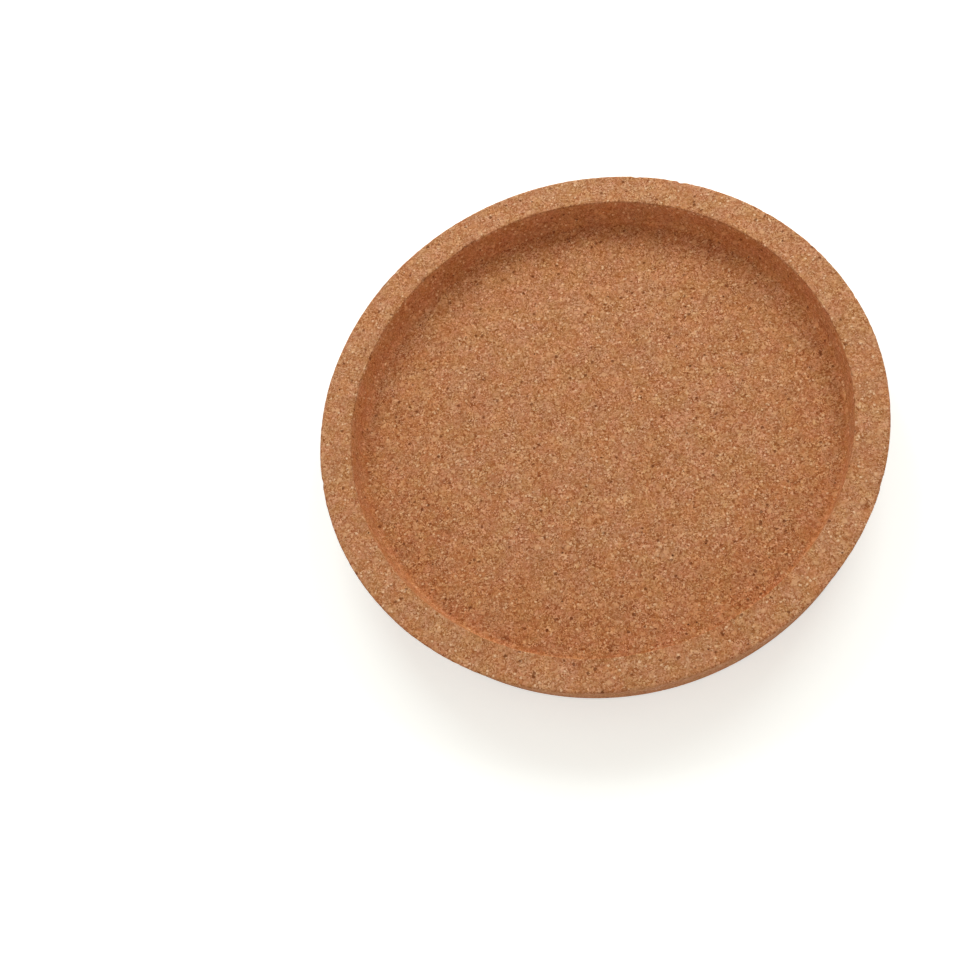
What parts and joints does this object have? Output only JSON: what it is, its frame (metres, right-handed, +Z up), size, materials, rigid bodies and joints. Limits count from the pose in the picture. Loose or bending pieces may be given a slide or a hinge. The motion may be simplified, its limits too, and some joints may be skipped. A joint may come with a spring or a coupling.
{
  "type": "drink coaster",
  "caption": "Round cork drink coaster: a shallow tray with a raised rim round a flat recess that holds the foot of a glass and keeps drips off the table.",
  "frame": {"origin": "middle of the flat underside", "axes": "+Z up, out of the recess; the coaster is round, so X and Y are equal"},
  "size_m": [0.1, 0.1, 0.01],
  "materials": {
    "cork": "matt fine-grained agglomerated cork, uncoated"
  },
  "bodies": {
    "root": {"cork_coaster": "cork"}
  },
  "joints": []
}
